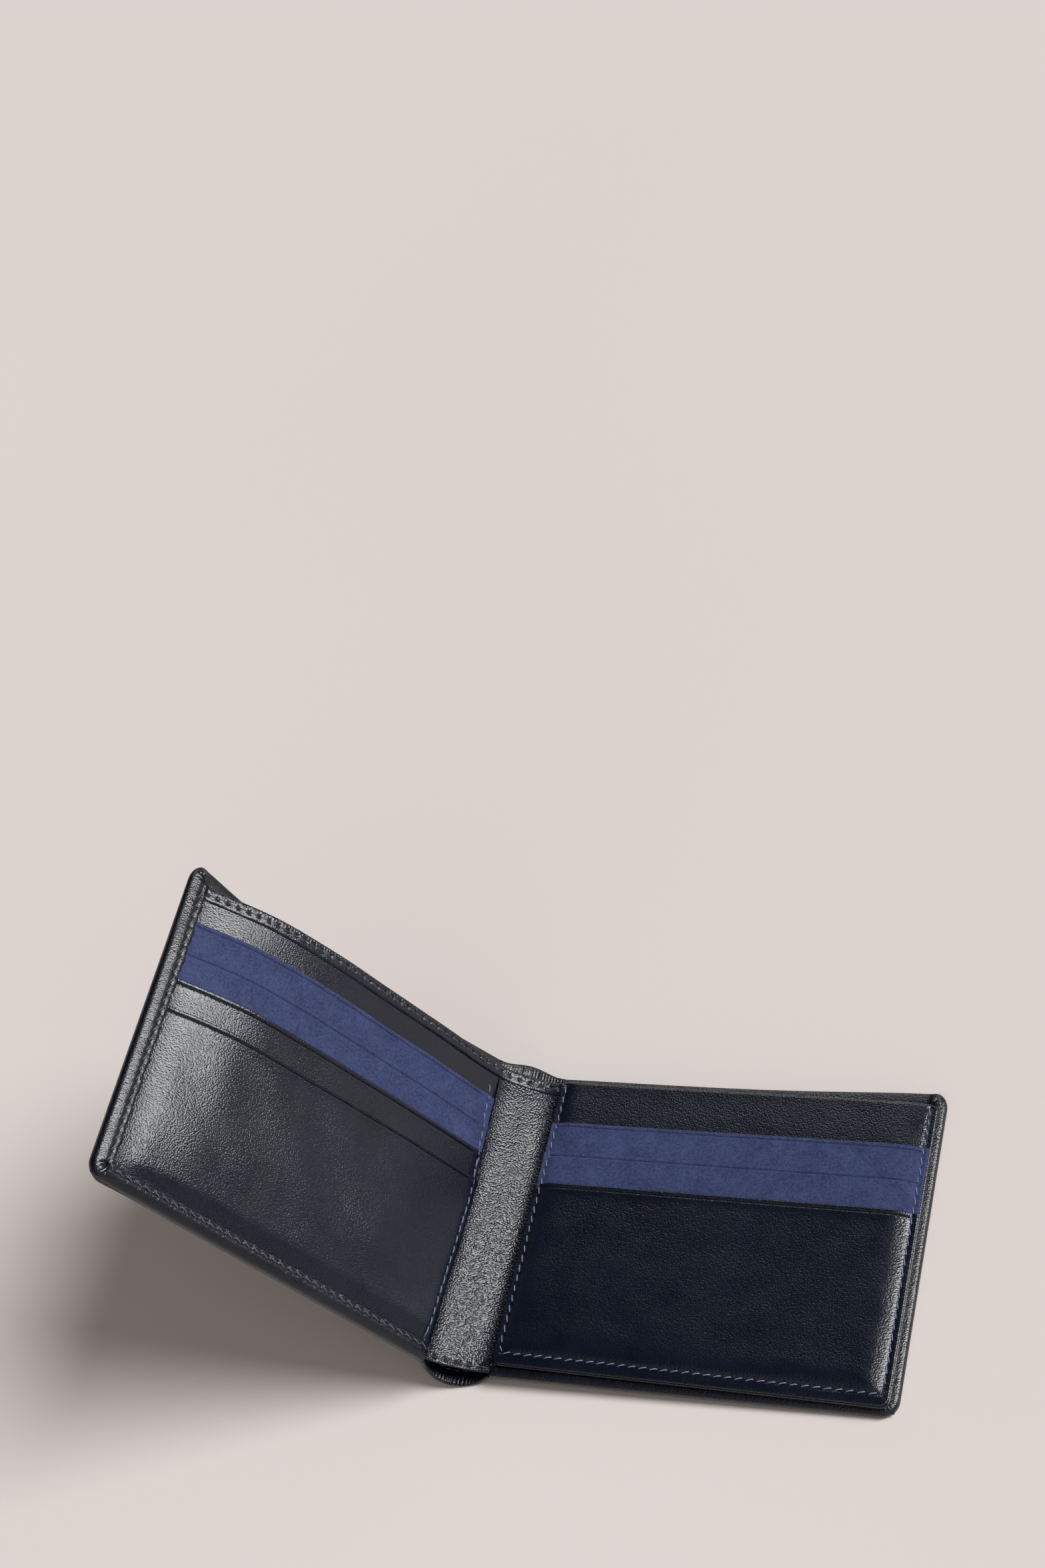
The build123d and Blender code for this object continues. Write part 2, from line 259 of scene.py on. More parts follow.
def round_corners(u, v, box, radii):
    """Pulls the four corners of a grid onto arcs; radii are for (u-,v-), (u+,v-), (u+,v+), (u-,v+)."""
    u0, u1, v0, v1 = box
    corners = ((u0, v0, 1, 1), (u1, v0, -1, 1), (u1, v1, -1, -1), (u0, v1, 1, -1))
    for (cu, cv, su, sv), radius in zip(corners, radii):
        if radius <= 0:
            continue
        du, dv = (u - cu) * su, (v - cv) * sv
        near = (du < radius) & (dv < radius)
        a, b = np.clip(1 - du / radius, 0, 1), np.clip(1 - dv / radius, 0, 1)
        new_u = cu + su * radius * (1 - a * np.sqrt(1 - b * b / 2))
        new_v = cv + sv * radius * (1 - b * np.sqrt(1 - a * a / 2))
        u, v = np.where(near, new_u, u), np.where(near, new_v, v)
    return u, v


def plate(
    name, leaf, box, foot, face, material,
    radii=(0, 0, 0, 0), edges=(0.3, 0.3, 0.3, 0.3), step=2.0, fine_u=(), fine_v=(), place=None,
):
    """A closed sheet of leather. foot and face give its lower and upper heights over u and v; edges are
    the rounding at the u-, u+, v- and v+ sides."""
    u0, u1, v0, v1 = box
    rows_u = ruling(u0, u1, step, fine_u, max(*edges[:2], 0.3))
    rows_v = ruling(v0, v1, step, fine_v, max(*edges[2:], 0.3))
    if max(radii) > 0:
        arc = max(radii) * np.linspace(0, 1, 7)
        rows_u = np.unique(np.concatenate([rows_u, u0 + arc, u1 - arc]).round(4))
        rows_v = np.unique(np.concatenate([rows_v, v0 + arc, v1 - arc]).round(4))
    grid_u, grid_v = np.meshgrid(rows_u, rows_v, indexing="ij")
    u, v = round_corners(grid_u, grid_v, box, radii)
    insets = (grid_u - u0, u1 - grid_u, grid_v - v0, v1 - grid_v)
    drop = np.maximum.reduce([roll(inset, radius) for inset, radius in zip(insets, edges)])
    lift = np.maximum.reduce([roll(inset, min(radius, 0.2)) for inset, radius in zip(insets, edges)])
    top = face(u, v) - drop
    low = np.minimum(foot(u, v) + lift, top - 0.02)
    verts = np.concatenate([np.stack([u, v, h], -1).reshape(-1, 3) for h in (top, low)])
    faces = closed_grid(len(rows_u), len(rows_v))
    return mesh_object(name, (place or leaf.world)(verts), faces, material)


def level(height):
    return lambda u, v: np.full_like(u, height)


# ---------------------------------------------------------------- materials


class Material:
    """A node material; its textures follow each object's own coordinates."""

    def __init__(self, name):
        self.made = bpy.data.materials.new(name)
        self.made.use_nodes = True
        self.nodes, self.links = self.made.node_tree.nodes, self.made.node_tree.links
        self.shader = self.nodes["Principled BSDF"]
        self.coords = self.nodes.new("ShaderNodeTexCoord").outputs["Object"]

    def node(self, kind, output, sources, values, **settings):
        """Adds a node with linked inputs, plain input values and settings, and gives its output."""
        node = self.nodes.new(kind)
        for key, value in settings.items():
            setattr(node, key, value)
        for key, value in values.items():
            node.inputs[key].default_value = value
        for key, source in sources.items():
            self.links.new(source, node.inputs[key])
        return node.outputs[output]

    def noise(self, scale, detail, roughness, distortion=0.0):
        values = {"Scale": scale, "Detail": detail, "Roughness": roughness, "Distortion": distortion}
        return self.node("ShaderNodeTexNoise", "Fac", {"Vector": self.coords}, values)

    def combine(self, a, b, share_a, share_b):
        """share_a of a plus share_b of b."""
        first = self.node("ShaderNodeMath", 0, {0: a}, {1: share_a}, operation="MULTIPLY")
        return self.node("ShaderNodeMath", 0, {0: b, 2: first}, {1: share_b}, operation="MULTIPLY_ADD")

    def colour(self, value, low, dark, high, light):
        """Base colour: dark where value is low, light where it is high."""
        node = self.nodes.new("ShaderNodeValToRGB")
        for item, (place, colour) in zip(node.color_ramp.elements, ((low, dark), (high, light))):
            item.position = place
            item.color = (*colour, 1.0)
        self.links.new(value, node.inputs["Fac"])
        self.links.new(node.outputs["Color"], self.shader.inputs["Base Color"])

    def rough(self, value, low, high, in_low=0.0, in_high=1.0):
        """Roughness from low to high as value goes from in_low to in_high."""
        values = {"From Min": in_low, "From Max": in_high, "To Min": low, "To Max": high}
        spread = self.node("ShaderNodeMapRange", "Result", {"Value": value}, values)
        self.links.new(spread, self.shader.inputs["Roughness"])

    def bumps(self, height, distance):
        values = {"Strength": 1.0, "Distance": distance}
        normal = self.node("ShaderNodeBump", "Normal", {"Height": height}, values)
        self.links.new(normal, self.shader.inputs["Normal"])

    def plain(self, **values):
        """Shader inputs that are the same all over, with _ for each space in a name."""
        for key, value in values.items():
            self.shader.inputs[key.replace("_", " ")].default_value = value
        return self.made


def smooth_leather(
    name, dark, light, rough=(0.24, 0.31), grain=0.00013, cell=2100, specular=0.43, cloudy=38
):
    """Aniline leather: pebbled pore cells, fine wrinkles, and cloudy variation in colour and gloss."""
    mat = Material(name)
    mat.colour(mat.noise(cloudy, 4.0, 0.6), 0.3, dark, 0.72, light)
    mat.rough(mat.noise(120, 3.0, 0.6), *rough, 0.3, 0.7)
    values = {"Scale": cell, "Randomness": 1.0}
    pebble = mat.node("ShaderNodeTexVoronoi", "Distance", {"Vector": mat.coords}, values, feature="F1")
    wrinkle = mat.noise(cell * 0.5, 2.0, 0.5)
    dent = mat.noise(110, 0.0, 0.5)
    mat.bumps(mat.combine(mat.combine(pebble, wrinkle, -0.5, 0.22), dent, 1.0, 0.9), grain)
    return mat.plain(Specular_IOR_Level=specular)


def nubuck(name, dark, light):
    """Brushed leather: speckled nap, larger lighter and darker patches painted in as the nap's shading, no
    gloss.
    """
    mat = Material(name)
    nap = mat.noise(1500, 4.0, 0.8)
    # larger patches in the colour: painted shading of the brushed nap
    nap_shading = mat.noise(150, 4.0, 0.6, 0.5)
    mat.colour(mat.combine(nap, nap_shading, 0.72, 0.28), 0.38, dark, 0.60, light)
    mat.rough(nap, 0.7, 0.95)
    mat.bumps(nap, 0.00012)
    sheen = (0.40, 0.48, 0.9, 1.0)
    return mat.plain(Specular_IOR_Level=0.25, Sheen_Weight=0.22, Sheen_Roughness=0.45, Sheen_Tint=sheen)


def thread_material(name, dark, light):
    mat = Material(name)
    fibre = mat.noise(5200, 2.0, 0.6)
    mat.colour(fibre, 0.3, dark, 0.7, light)
    mat.rough(fibre, 0.4, 0.65)
    mat.bumps(fibre, 0.00004)
    return mat.plain(Sheen_Weight=0.2)


def twill(name, dark, light):
    """Lining cloth: fine diagonal ribs."""
    mat = Material(name)
    values = {"Scale": 900, "Distortion": 1.2, "Detail": 2.0}
    settings = {"bands_direction": "DIAGONAL"}
    wave = mat.node("ShaderNodeTexWave", "Fac", {"Vector": mat.coords}, values, **settings)
    mat.colour(wave, 0.2, dark, 0.8, light)
    mat.rough(wave, 0.75, 0.95)
    mat.bumps(wave, 0.00006)
    return mat.made


NAVY = (0.0014, 0.0029, 0.0084), (0.0036, 0.0062, 0.0141)
BLACK_NAVY = (0.0016, 0.0026, 0.0062), (0.0042, 0.0060, 0.0118)
INNER = smooth_leather("inner_leather", *NAVY)
OUTER = smooth_leather("outer_leather", *BLACK_NAVY, rough=(0.25, 0.37))
SPINE = smooth_leather("spine_leather", *NAVY, (0.22, 0.30), 0.00026, 1900, specular=0.40, cloudy=60)
BLUE = nubuck("blue_nubuck", (0.0090, 0.0145, 0.053), (0.037, 0.052, 0.140))
THREAD_LIGHT = thread_material("seam_thread", (0.05, 0.065, 0.16), (0.19, 0.22, 0.37))
THREAD_EDGE = thread_material("edge_thread", (0.010, 0.012, 0.020), (0.075, 0.080, 0.110))
THREAD_DARK = thread_material("border_thread", (0.006, 0.007, 0.012), (0.035, 0.038, 0.055))
# near-black colour of the needle-hole cups: painted shade inside the holes
NEEDLE_HOLE_SHADE = smooth_leather("needle_hole_shade", (0.0008, 0.0009, 0.0014), (0.0016, 0.0018, 0.0026), rough=(0.7, 0.9))
LINING = twill("note_lining", (0.004, 0.005, 0.010), (0.016, 0.019, 0.032))
BOARD = twill("fibre_board", (0.05, 0.042, 0.034), (0.12, 0.10, 0.08))

# ---------------------------------------------------------------- outer leather of a cover

PITCH = 2.9
OUTLINE_STEP = 0.46
CORNER_POINTS = 15


def near_path(path, u, v):
    """For each (u, v): distance along the path to its nearest point, and from it; and the path's length."""
    nearest, along = np.full(np.shape(u), 1e9), np.zeros(np.shape(u))
    total = 0.0
    for (a0, a1), (b0, b1) in zip(path, path[1:]):
        d0, d1 = b0 - a0, b1 - a1
        length = np.hypot(d0, d1)
        t = np.clip(((u - a0) * d0 + (v - a1) * d1) / length**2, 0, 1)
        away = np.hypot(u - a0 - t * d0, v - a1 - t * d1)
        closer = away < nearest
        nearest, along = np.where(closer, away, nearest), np.where(closer, total + t * length, along)
        total += length
    return along, nearest, total


def even_step(length):
    """The pitch nearest to PITCH that fits a row's length."""
    return length / max(1, round(length / PITCH))


def row_dip(path, at_hole, groove):
    """How deep a row of stitches draws the leather in, over (u, v)."""

    def dip(u, v):
        along, away, total = near_path(path, u, v)
        step = even_step(total)
        near = along % step
        hole = bump(np.minimum(near, step - near), 0, 0.6) * bump(away, 0, 0.55)
        return at_hole * hole + groove * bump(away, 0, 0.75)

    return dip


def outline():
    """Points and inward normals round a cover, from the fold's bottom end, by the outer edge, to its top."""
    rows = [(u, -HALF, 0, 1) for u in np.arange(U_JOIN, LENGTH - CORNER, OUTLINE_STEP)]
    centre_u, centre_v = LENGTH - CORNER, HALF - CORNER
    for low, high, sign in ((-pi / 2, 0, -1), (0, pi / 2, 1)):
        if sign > 0:
            rows += [(LENGTH, v, -1, 0) for v in np.arange(-centre_v + OUTLINE_STEP, centre_v, OUTLINE_STEP)]
        for angle in np.linspace(low, high, CORNER_POINTS):
            along_u, along_v = cos(angle), sin(angle)
            rows.append((centre_u + CORNER * along_u, sign * centre_v + CORNER * along_v, -along_u, -along_v))
    rows += [(u, HALF, 0, -1) for u in np.arange(centre_u - OUTLINE_STEP, U_JOIN, -OUTLINE_STEP)]
    rows = np.array([*rows, (U_JOIN, HALF, 0, -1)])
    return rows[:, :2], rows[:, 2:]


LEFT_TOPS = [LEFT.local(f"left_pocket_{k}")[1][1] for k in (1, 2, 3, 4)]


def lip_top(u, v, leaf):
    """Height of the turned-in border over the pocket stack or the plain panel."""
    if leaf is RIGHT:
        return np.full_like(u, COVER_TOP)
    under_stack = smooth(LEFT_TOPS[0] - v, -10.0, 12.0) * smooth(u, 0.5, 4.0)
    return COVER_TOP + 0.75 * under_stack


def rim_section():
    """The turned edge, from underneath, round the outside and in to the border's inner edge: share of
    the border's width, share of the thickness, and how far wrinkles and stitches move it."""
    belly, middle = 0.12, 0.42
    points = [(belly * (1 - sin(t)), middle * (1 - cos(t)), 0) for t in np.linspace(0, pi / 2, 7)]
    points += [(0.01, 0.56, 0.1), (0.035, 0.68, 0.2), (0.07, 0.76, 0.35), (0.11, 0.815, 0.5)]
    points += [(0.16, 0.855, 0.7), (0.22, 0.89, 0.9), (0.29, 0.922, 1), (0.36, 0.952, 1)]
    points += [(0.43, 0.977, 1), (0.50, 0.994, 1), (0.56, 1.0, 1), (0.61, 1.0, 1)]
    points += [(0.66, 0.995, 1), (0.71, 0.985, 1), (0.76, 0.985, 1), (0.81, 0.99, 1)]
    points += [(0.86, 0.985, 1), (0.91, 0.965, 1), (0.95, 0.93, 1)]
    return points + [(0.985, 0.88, 0.8), (1.0, 0.80, 0.4)]


SECTION = rim_section()
# how far each cover's top corner reaches up, over what length, and how far its top edge sags or bows
FLARES = {"right": (1.9, 38.0, 0.0), "left": (3.4, 15.0, -0.9)}
LIP_STITCH = 0.70  # the border's stitches, as a share of its width
RIM_U, RIM_V = LENGTH - BORDER * LIP_STITCH, -HALF + BORDER_LOW * LIP_STITCH
TURN = 2.0
RIM_PATH = [(U_JOIN + 0.6, RIM_V), (RIM_U - TURN, RIM_V)]
for t in np.linspace(0, pi / 2, 7)[1:]:
    RIM_PATH.append((RIM_U - TURN + TURN * sin(t), RIM_V + TURN - TURN * cos(t)))
RIM_PATH += [(RIM_U, HALF - 4)]


def top_flare(side, u, v):
    """The cover's top corner reaches past the inner panel's edge."""
    reach, length, droop = FLARES[side]
    lifted = reach * bump(u, LENGTH, length)
    sagging = droop * np.sin(pi * np.clip(u / LENGTH, 0, 1))
    return (lifted + sagging) * smooth(v, 30, HALF)


def cover(side, leaf, node, body):
    points, normals = outline()
    u, v = points.T
    count = len(u)
    run = run_along(points)
    # the border runs along the bottom and the outer edge; along the top it thins to the hem
    top_share = smooth(v, HALF - CORNER * 0.55, HALF - 0.3) * smooth(LENGTH - u, CORNER * 0.2, CORNER * 1.3)
    low_share = smooth(-v, HALF - CORNER * 1.2, HALF - 0.2) * smooth(LENGTH - u, 0.5, CORNER * 1.5)
    thick = (1 - top_share) * lip_top(u, v, leaf) + top_share * (LEATHER + HEM)
    thick = thick - 0.25 * (1 - smooth(u, U_JOIN, U_JOIN + 1.2)) * (v < 0)
    width = (1 - top_share) * (BORDER + (BORDER_LOW - BORDER) * low_share) + top_share * HEM_WIDTH
    turning = (u > LENGTH - CORNER) & (np.abs(v) > HALF - CORNER)
    phase = np.arctan2(v - np.sign(v) * (HALF - CORNER), u - (LENGTH - CORNER))
    wave = np.sin(run * 2.1) * 0.5 + np.sin(run * 0.83 + 1.3) * 0.7 + np.sin(run * 4.7 + 0.4) * 0.25
    dip = row_dip(RIM_PATH, 0.30, 0.14)
    rows = []
    for d_share, h_share, lift in SECTION:
        d = d_share * width
        h = h_share * thick
        ridge = lift * (1 - top_share)
        creases = np.sin(run * 3.3 + d * 1.4) * 0.5 + np.sin(run * 5.9 + d * 2.1 + 1.0) * 0.5
        h = h + ridge * (0.07 * wave * d_share + 0.05 * creases * smooth(np.full(1, d_share), 0.2, 0.5))
        h = h - ridge * dip(u + normals[:, 0] * d, v + normals[:, 1] * d)
        h = h + turning * lift * 0.20 * np.sin(phase * 20) * np.clip(d / 2.0, 0, 1)
        inner = np.clip((d_share - 0.8) / 0.2, 0, 1) * (1 - top_share)
        d = d + inner * 0.24 * wave
        rows.append(np.stack([u + normals[:, 0] * d, v + normals[:, 1] * d, h], -1))
    # the underside and the inner face each run in a little way and close with one flat face
    middle = np.stack([np.clip(u, U_JOIN, LENGTH - HALF), np.zeros(count), np.zeros(count)], -1)
    below, above = [], []
    for share in (0.04, 0.12, 0.35):
        low = rows[0] * (1 - share) + middle * share
        high = rows[-1] * (1 - share) + middle * share
        low[:, 2], high[:, 2] = 0.0, LEATHER
        below.append(low), above.append(high)
    foot = rows[-1].copy()
    foot[:, 2] = LEATHER
    layers = below[::-1] + rows + [foot] + above
    verts = np.concatenate(layers)
    verts[:, 1] += top_flare(side, verts[:, 0], verts[:, 1])
    faces = []
    for i in range(len(layers) - 1):
        for j in range(count - 1):
            a = i * count + j
            faces.append((a, a + 1, a + count + 1, a + count))
    first = [i * count for i in range(len(layers))]
    last = [i * count + count - 1 for i in range(len(layers))]
    faces.append((*first, *reversed(last)))
    faces.append(tuple(reversed(range(count))))
    faces.append(tuple((len(layers) - 1) * count + j for j in range(count)))
    obj = mesh_object(f"{side}_cover_leather", leaf.world(verts), faces, OUTER, 50)
    finish_piece(obj, "outer_leather", body, [node])


# ---------------------------------------------------------------- stitches

TUBE_SIDES = 8
HOLE_SIDES = 10


def tube_ring(centre, side, up, radius_side, radius_up):
    angles = np.arange(TUBE_SIDES) * 2 * pi / TUBE_SIDES
    sideways = np.outer(np.cos(angles) * radius_side, side)
    return np.array(centre) + sideways + np.outer(np.sin(angles) * radius_up, up)


def closed_tube(start, rings, sides):
    """Faces of a tube of rings whose first vertex is start: its sides, then its two flat ends."""
    faces = []
    for i in range(rings - 1):
        for j in range(sides):
            a, b = start + i * sides + j, start + i * sides + (j + 1) % sides
            faces.append((a, b, b + sides, a + sides))
    faces.append(tuple(start + j for j in reversed(range(sides))))
    faces.append(tuple(start + (rings - 1) * sides + j for j in range(sides)))
    return faces


def stitch_row(
    name, leaf, path, height, body, thread, replaced=(),
    size=0.36, slant=15.0, share=0.80, curve=None, hole=0.26, hole_drop=0.0,
):
    """Lock stitches along a path of (u, v): each dips into a needle hole at both ends. size is the
    thread's thickness, and share is a stitch's part of the pitch."""
    path = np.array(path, float)
    run = run_along(path)
    count = max(1, int(round(run[-1] / PITCH)))
    step = run[-1] / count
    place = curve or leaf.world
    verts, faces, slots = [], [], []
    total = 0

    def at(s):
        return resample(s, run, path)[0]

    def add(rings, sides, slot):
        nonlocal total
        verts.append(place(np.concatenate(rings)))
        tube = closed_tube(total, len(rings), sides)
        faces.extend(tube)
        slots.extend([slot] * len(tube))
        total += len(rings) * sides

    for k in range(count):
        a, b = at((k + 0.5 - share / 2) * step), at((k + 0.5 + share / 2) * step)
        along = (b - a) / np.linalg.norm(b - a)
        across = np.array([-along[1], along[0]])
        turn = radians(slant + RNG.uniform(-3.5, 3.5))
        tilt = across * np.tan(turn) * step * share / 2
        wobble = across * RNG.uniform(-0.06, 0.06)
        rings = []
        for t in (0.0, 0.06, 0.16, 0.3, 0.5, 0.7, 0.84, 0.94, 1.0):
            p = a + (b - a) * t + tilt * (2 * t - 1) + wobble
            arch = sin(pi * t) ** 0.55
            radius = size / 2 * (0.25 + 0.75 * arch**0.5) * (1 + 0.06 * sin(16 * t + k))
            top = height(np.array([p[0]]), np.array([p[1]]))[0] - size * 0.62 + size * 0.62 * arch
            rings.append(tube_ring((*p, top), (*across, 0), (0, 0, 1.0), radius, radius * 0.85))
        add(rings, TUBE_SIDES, 0)
    # needle holes: a shallow cup at each end of every stitch, coloured near black as painted shade inside the
    # hole
    angles = np.arange(HOLE_SIDES) * 2 * pi / HOLE_SIDES
    for k in range(count + 1):
        p = at(k * step)
        top = height(np.array([p[0]]), np.array([p[1]]))[0] - hole_drop
        rings = []
        for radius, level_mm in ((hole * 0.7, top - 0.12), (hole, top + 0.02)):
            ring = [(p[0] + radius * cos(t), p[1] + radius * sin(t), level_mm) for t in angles]
            rings.append(np.array(ring))
        add(rings, HOLE_SIDES, 1)
    obj = mesh_object(name, np.concatenate(verts), faces, [thread, NEEDLE_HOLE_SHADE], 60)
    obj.data.polygons.foreach_set("material_index", slots)
    finish_piece(obj, "thread", body, replaced)
    return obj


# ---------------------------------------------------------------- covers, panels and bindings


LEAVES = (("right", RIGHT, "right_cover"), ("left", LEFT, "left_cover"))
LIP_U, LIP_V = LENGTH - BORDER, -HALF + BORDER_LOW
PUFF = 4.6  # how far the left cover's panel gapes at its open end
PILLOW = 1.6  # how far it swells over the middle


def puff(u, v):
    """The standing cover's panel gapes away from the outer leather, most at its top edge."""
    along = np.sin(pi * np.clip(u / LIP_U, 0, 1) ** 1.9)
    gape = PUFF * along * np.clip((v - LIP_V) / (HALF - LIP_V), 0, 1.1) ** 1.5
    pillow = PILLOW * smooth(LIP_U - u, 0, 21) * smooth(v - LIP_V, 0, 20) * smooth(u, 0, 30)
    cloud = np.sin(u * 0.16 + 1.0) * np.sin(v * 0.13 + 0.4) + 0.6 * np.sin(u * 0.29 - v * 0.23)
    cloud = 0.09 * cloud * smooth(LIP_U - u, 0, 12) * smooth(v - LIP_V, 0, 12) * smooth(u, 2, 20)
    return gape + pillow + cloud


def panel_wave(u, v):
    return 0.10 * np.sin(u * 0.11 + 0.7) * np.sin(v * 0.16 + 1.1) * smooth(v, 38, 24)


BINDING_LOW = BINDING_MIN[1] + 0.9
BINDING_ROW = BINDING_LOW + 1.9
RIB_PITCH = 0.95


def binding_section():
    """(v, h) round the binding: from its lower edge on the face, over the top edge, and back behind."""
    low, high = BINDING_LOW, BINDING_MAX[1]
    face, back = BINDING_MAX[2], BINDING_MIN[2]
    mid = (face + back) / 2
    points = [(low + 0.02, PANEL_FACE - 0.05), (low, PANEL_FACE + 0.12)]
    points += [(low + 0.06, face - 0.22), (low + 0.25, face - 0.06)]
    points += [(v, face) for v in np.linspace(low + 0.6, high - 1.3, 9)]
    for t in np.linspace(80, -80, 9):
        points.append((high - 0.65 + 0.65 * cos(radians(t)), mid + (face - mid) * sin(radians(t))))
    points += [(high - 1.3, back), (low + 0.4, back), (low + 0.05, back + 0.1)]
    return np.array(points)


def binding_relief(first, last):
    """Fine ribs over the upper edge, and a dip at each needle hole of a row from first to last."""
    step = even_step(last - first)
    face = BINDING_MAX[2]

    def relief(s, v, h):
        on_face = smooth(h, face - 0.35, face - 0.05)
        rib = 0.075 * np.sin(s * 2 * pi / RIB_PITCH + 0.6 * np.sin(s * 0.7)) * smooth(v, 40.9, 41.9)
        near = (s - first) % step
        hole = bump(np.minimum(near, step - near), 0, 0.5) * bump(v, BINDING_ROW, 0.45)
        swell = 0.05 * np.sin(s * 0.5 + 0.3) + 0.03 * np.sin(s * 1.3)
        return (rib - 0.42 * hole + swell) * on_face + rib * (1 - on_face) * 0.6

    return relief


def swept(name, stations, section, relief, place, material):
    """A closed section carried along stations; place turns (s, v, h) into the row frame."""
    rings = []
    for s in stations:
        ring = np.column_stack([np.full(len(section), s), section])
        ring[:, 2] += relief(ring[:, 0], ring[:, 1], ring[:, 2])
        rings.append(ring)
    faces = closed_tube(0, len(rings), len(section))
    return mesh_object(name, place(np.concatenate(rings)), faces, material, 50)


for side, leaf, body in LEAVES:
    cover(side, leaf, f"{side}_outer_leather", body)
    lifted = puff if leaf is LEFT else level(0.0)
    panel = plate(
        f"{side}_panel", leaf, (U_JOIN, LIP_U + 0.6, LIP_V - 0.6, PANEL_MAX[1] - 0.3),
        lambda u, v: PANEL_FOOT + lifted(u, v),
        lambda u, v: PANEL_FACE + panel_wave(u, v) + lifted(u, v), INNER, step=2.5,
    )
    finish_piece(panel, "inner_leather", body, [f"{side}_inner_panel"])
    stations = np.arange(U_JOIN, LIP_U + 0.4, 0.24)

    def on_leaf(points):
        points = np.array(points, float)
        points[:, 2] += lifted(points[:, 0], points[:, 1])
        return leaf.world(points)

    relief = binding_relief(U_JOIN, LIP_U - 0.2)
    binding = swept(f"{side}_binding", stations, binding_section(), relief, on_leaf, INNER)
    finish_piece(binding, "binding_leather", body, [f"{side}_top_binding"])
    stitch_row(
        f"{side}_binding_stitches", leaf, [(U_JOIN, BINDING_ROW), (LIP_U - 0.2, BINDING_ROW)],
        level(BINDING_MAX[2]), body, THREAD_DARK, [f"{side}_binding_thread"], slant=5, size=0.42,
        hole=0.46, hole_drop=0.30, curve=on_leaf,
    )
    stitch_row(
        f"{side}_border_stitches", leaf, RIM_PATH, lambda u, v: lip_top(u, v, leaf) - 0.04, body,
        THREAD_EDGE, [f"{side}_border_thread"], slant=20, share=0.84, size=0.44, hole_drop=0.30,
    )
    stitch_row(
        f"{side}_hem_stitches", leaf, [(U_JOIN, HEM_ROW), (LIP_U, HEM_ROW)], level(LEATHER + HEM),
        body, THREAD_DARK, [f"{side}_hem_thread"], slant=5, size=0.4,
    )

# ---------------------------------------------------------------- card pockets of the left cover

STACK_U0 = LEFT.local("left_pocket_1")[0][0]
STACK_FLOOR = LEFT.local("left_pocket_lining")[0][2]
STACK = [STACK_FLOOR] + [LEFT.local(f"left_pocket_{k}")[1][2] for k in (1, 2, 3, 4)]
SEAM_U = STACK_U0 + 2.3  # the seam down the pockets' fold side
STACK_BOW = 2.0  # how far that side bows over the spine
CREASE_INSET, CREASE_WIDTH = 1.3, 0.24  # the pressed line under each pocket's top edge
VISIBLE_TOPS = np.array(LEFT_TOPS) + (0.4, -0.3, -1.0, -1.2)
STACK_PATH = [(SEAM_U, VISIBLE_TOPS[0] + 3.6), (SEAM_U, LIP_V + 0.9)]
STACK_DIP = row_dip(STACK_PATH, 0.42, 0.14)


def stack_height(level_mm, top=None):
    """Height of a layer of the stack: pressed down under the border, rolled over at the fold side."""

    def height(u, v):
        near_lip = np.minimum(LIP_U - u, v - LIP_V)
        outer_rise = 0.6 * smooth(LIP_U - u, -0.5, 8.0) + 0.4 * smooth(LIP_U - u, 0.0, 24.0)
        pressed = 0.38 + 0.62 * outer_rise * smooth(v - LIP_V, -0.5, 4.0)
        facet = 1 - 0.42 * (1 - smooth(u, STACK_U0 - 0.4, SEAM_U + 0.4))
        rolled = np.sqrt(np.clip(1 - (1 - np.clip((u - STACK_U0) / 0.5, 0, 1)) ** 2, 0, 1))
        h = STACK_FLOOR + (level_mm - STACK_FLOOR) * pressed * facet * (0.06 + 0.94 * rolled)
        belly = 0.16 * np.sin(u * 0.055 + 0.5) * np.sin((v + 41) * 0.07) * smooth(near_lip, 2, 14)
        pull = STACK_DIP(u, v)
        h = h + belly - pull * smooth(u, STACK_U0, STACK_U0 + 0.8) + puff(u, v)
        if top is not None:
            crease = 0.40 * bump(v, top - CREASE_INSET, CREASE_WIDTH) * smooth(u, SEAM_U, SEAM_U + 2.0)
            h = h + pocket_edge(v, top) - crease
        return h

    return height


def stack_warp(points):
    """The stack's fold-side edge bows out over the spine."""
    points = np.array(points, float)
    u, v = points[:, 0], points[:, 1]
    points[:, 0] = u - STACK_BOW * bump(v, 4, 28) * (1 - smooth(u, 4, 34))
    return LEFT.world(points)


for k, top in enumerate(VISIBLE_TOPS):
    material, slot_name = (BLUE, "blue_nubuck") if k < 2 else (INNER, "inner_leather")
    pocket = plate(
        f"left_pocket_leather_{k + 1}", LEFT, (STACK_U0, LIP_U + 0.7, LIP_V - 0.7, top),
        stack_height(STACK[k]), stack_height(STACK[k + 1], top), material,
        edges=(0.05, 0.05, 0.05, 0.38), step=1.6, fine_u=(STACK_U0 + 0.3, STACK_U0 + 1.2, SEAM_U),
        fine_v=(top - 1.25,), place=stack_warp,
    )
    finish_piece(pocket, slot_name, "left_cover", [f"left_pocket_{k + 1}"])


def stack_face(u, v):
    """Upper face of the stack, whichever pocket shows there."""
    level_mm = np.full_like(u, STACK[0]) + puff(u, v)
    for k, top in enumerate(VISIBLE_TOPS):
        level_mm = np.where(v < top, stack_height(STACK[k + 1])(u, v), level_mm)
    return level_mm


stitch_row(
    "left_pocket_stitches", LEFT, STACK_PATH, lambda u, v: stack_face(u, v) + 0.10, "left_cover",
    THREAD_LIGHT, ["left_pocket_thread"], slant=-10, hole_drop=0.08, curve=stack_warp,
)

# ---------------------------------------------------------------- spine, in two halves

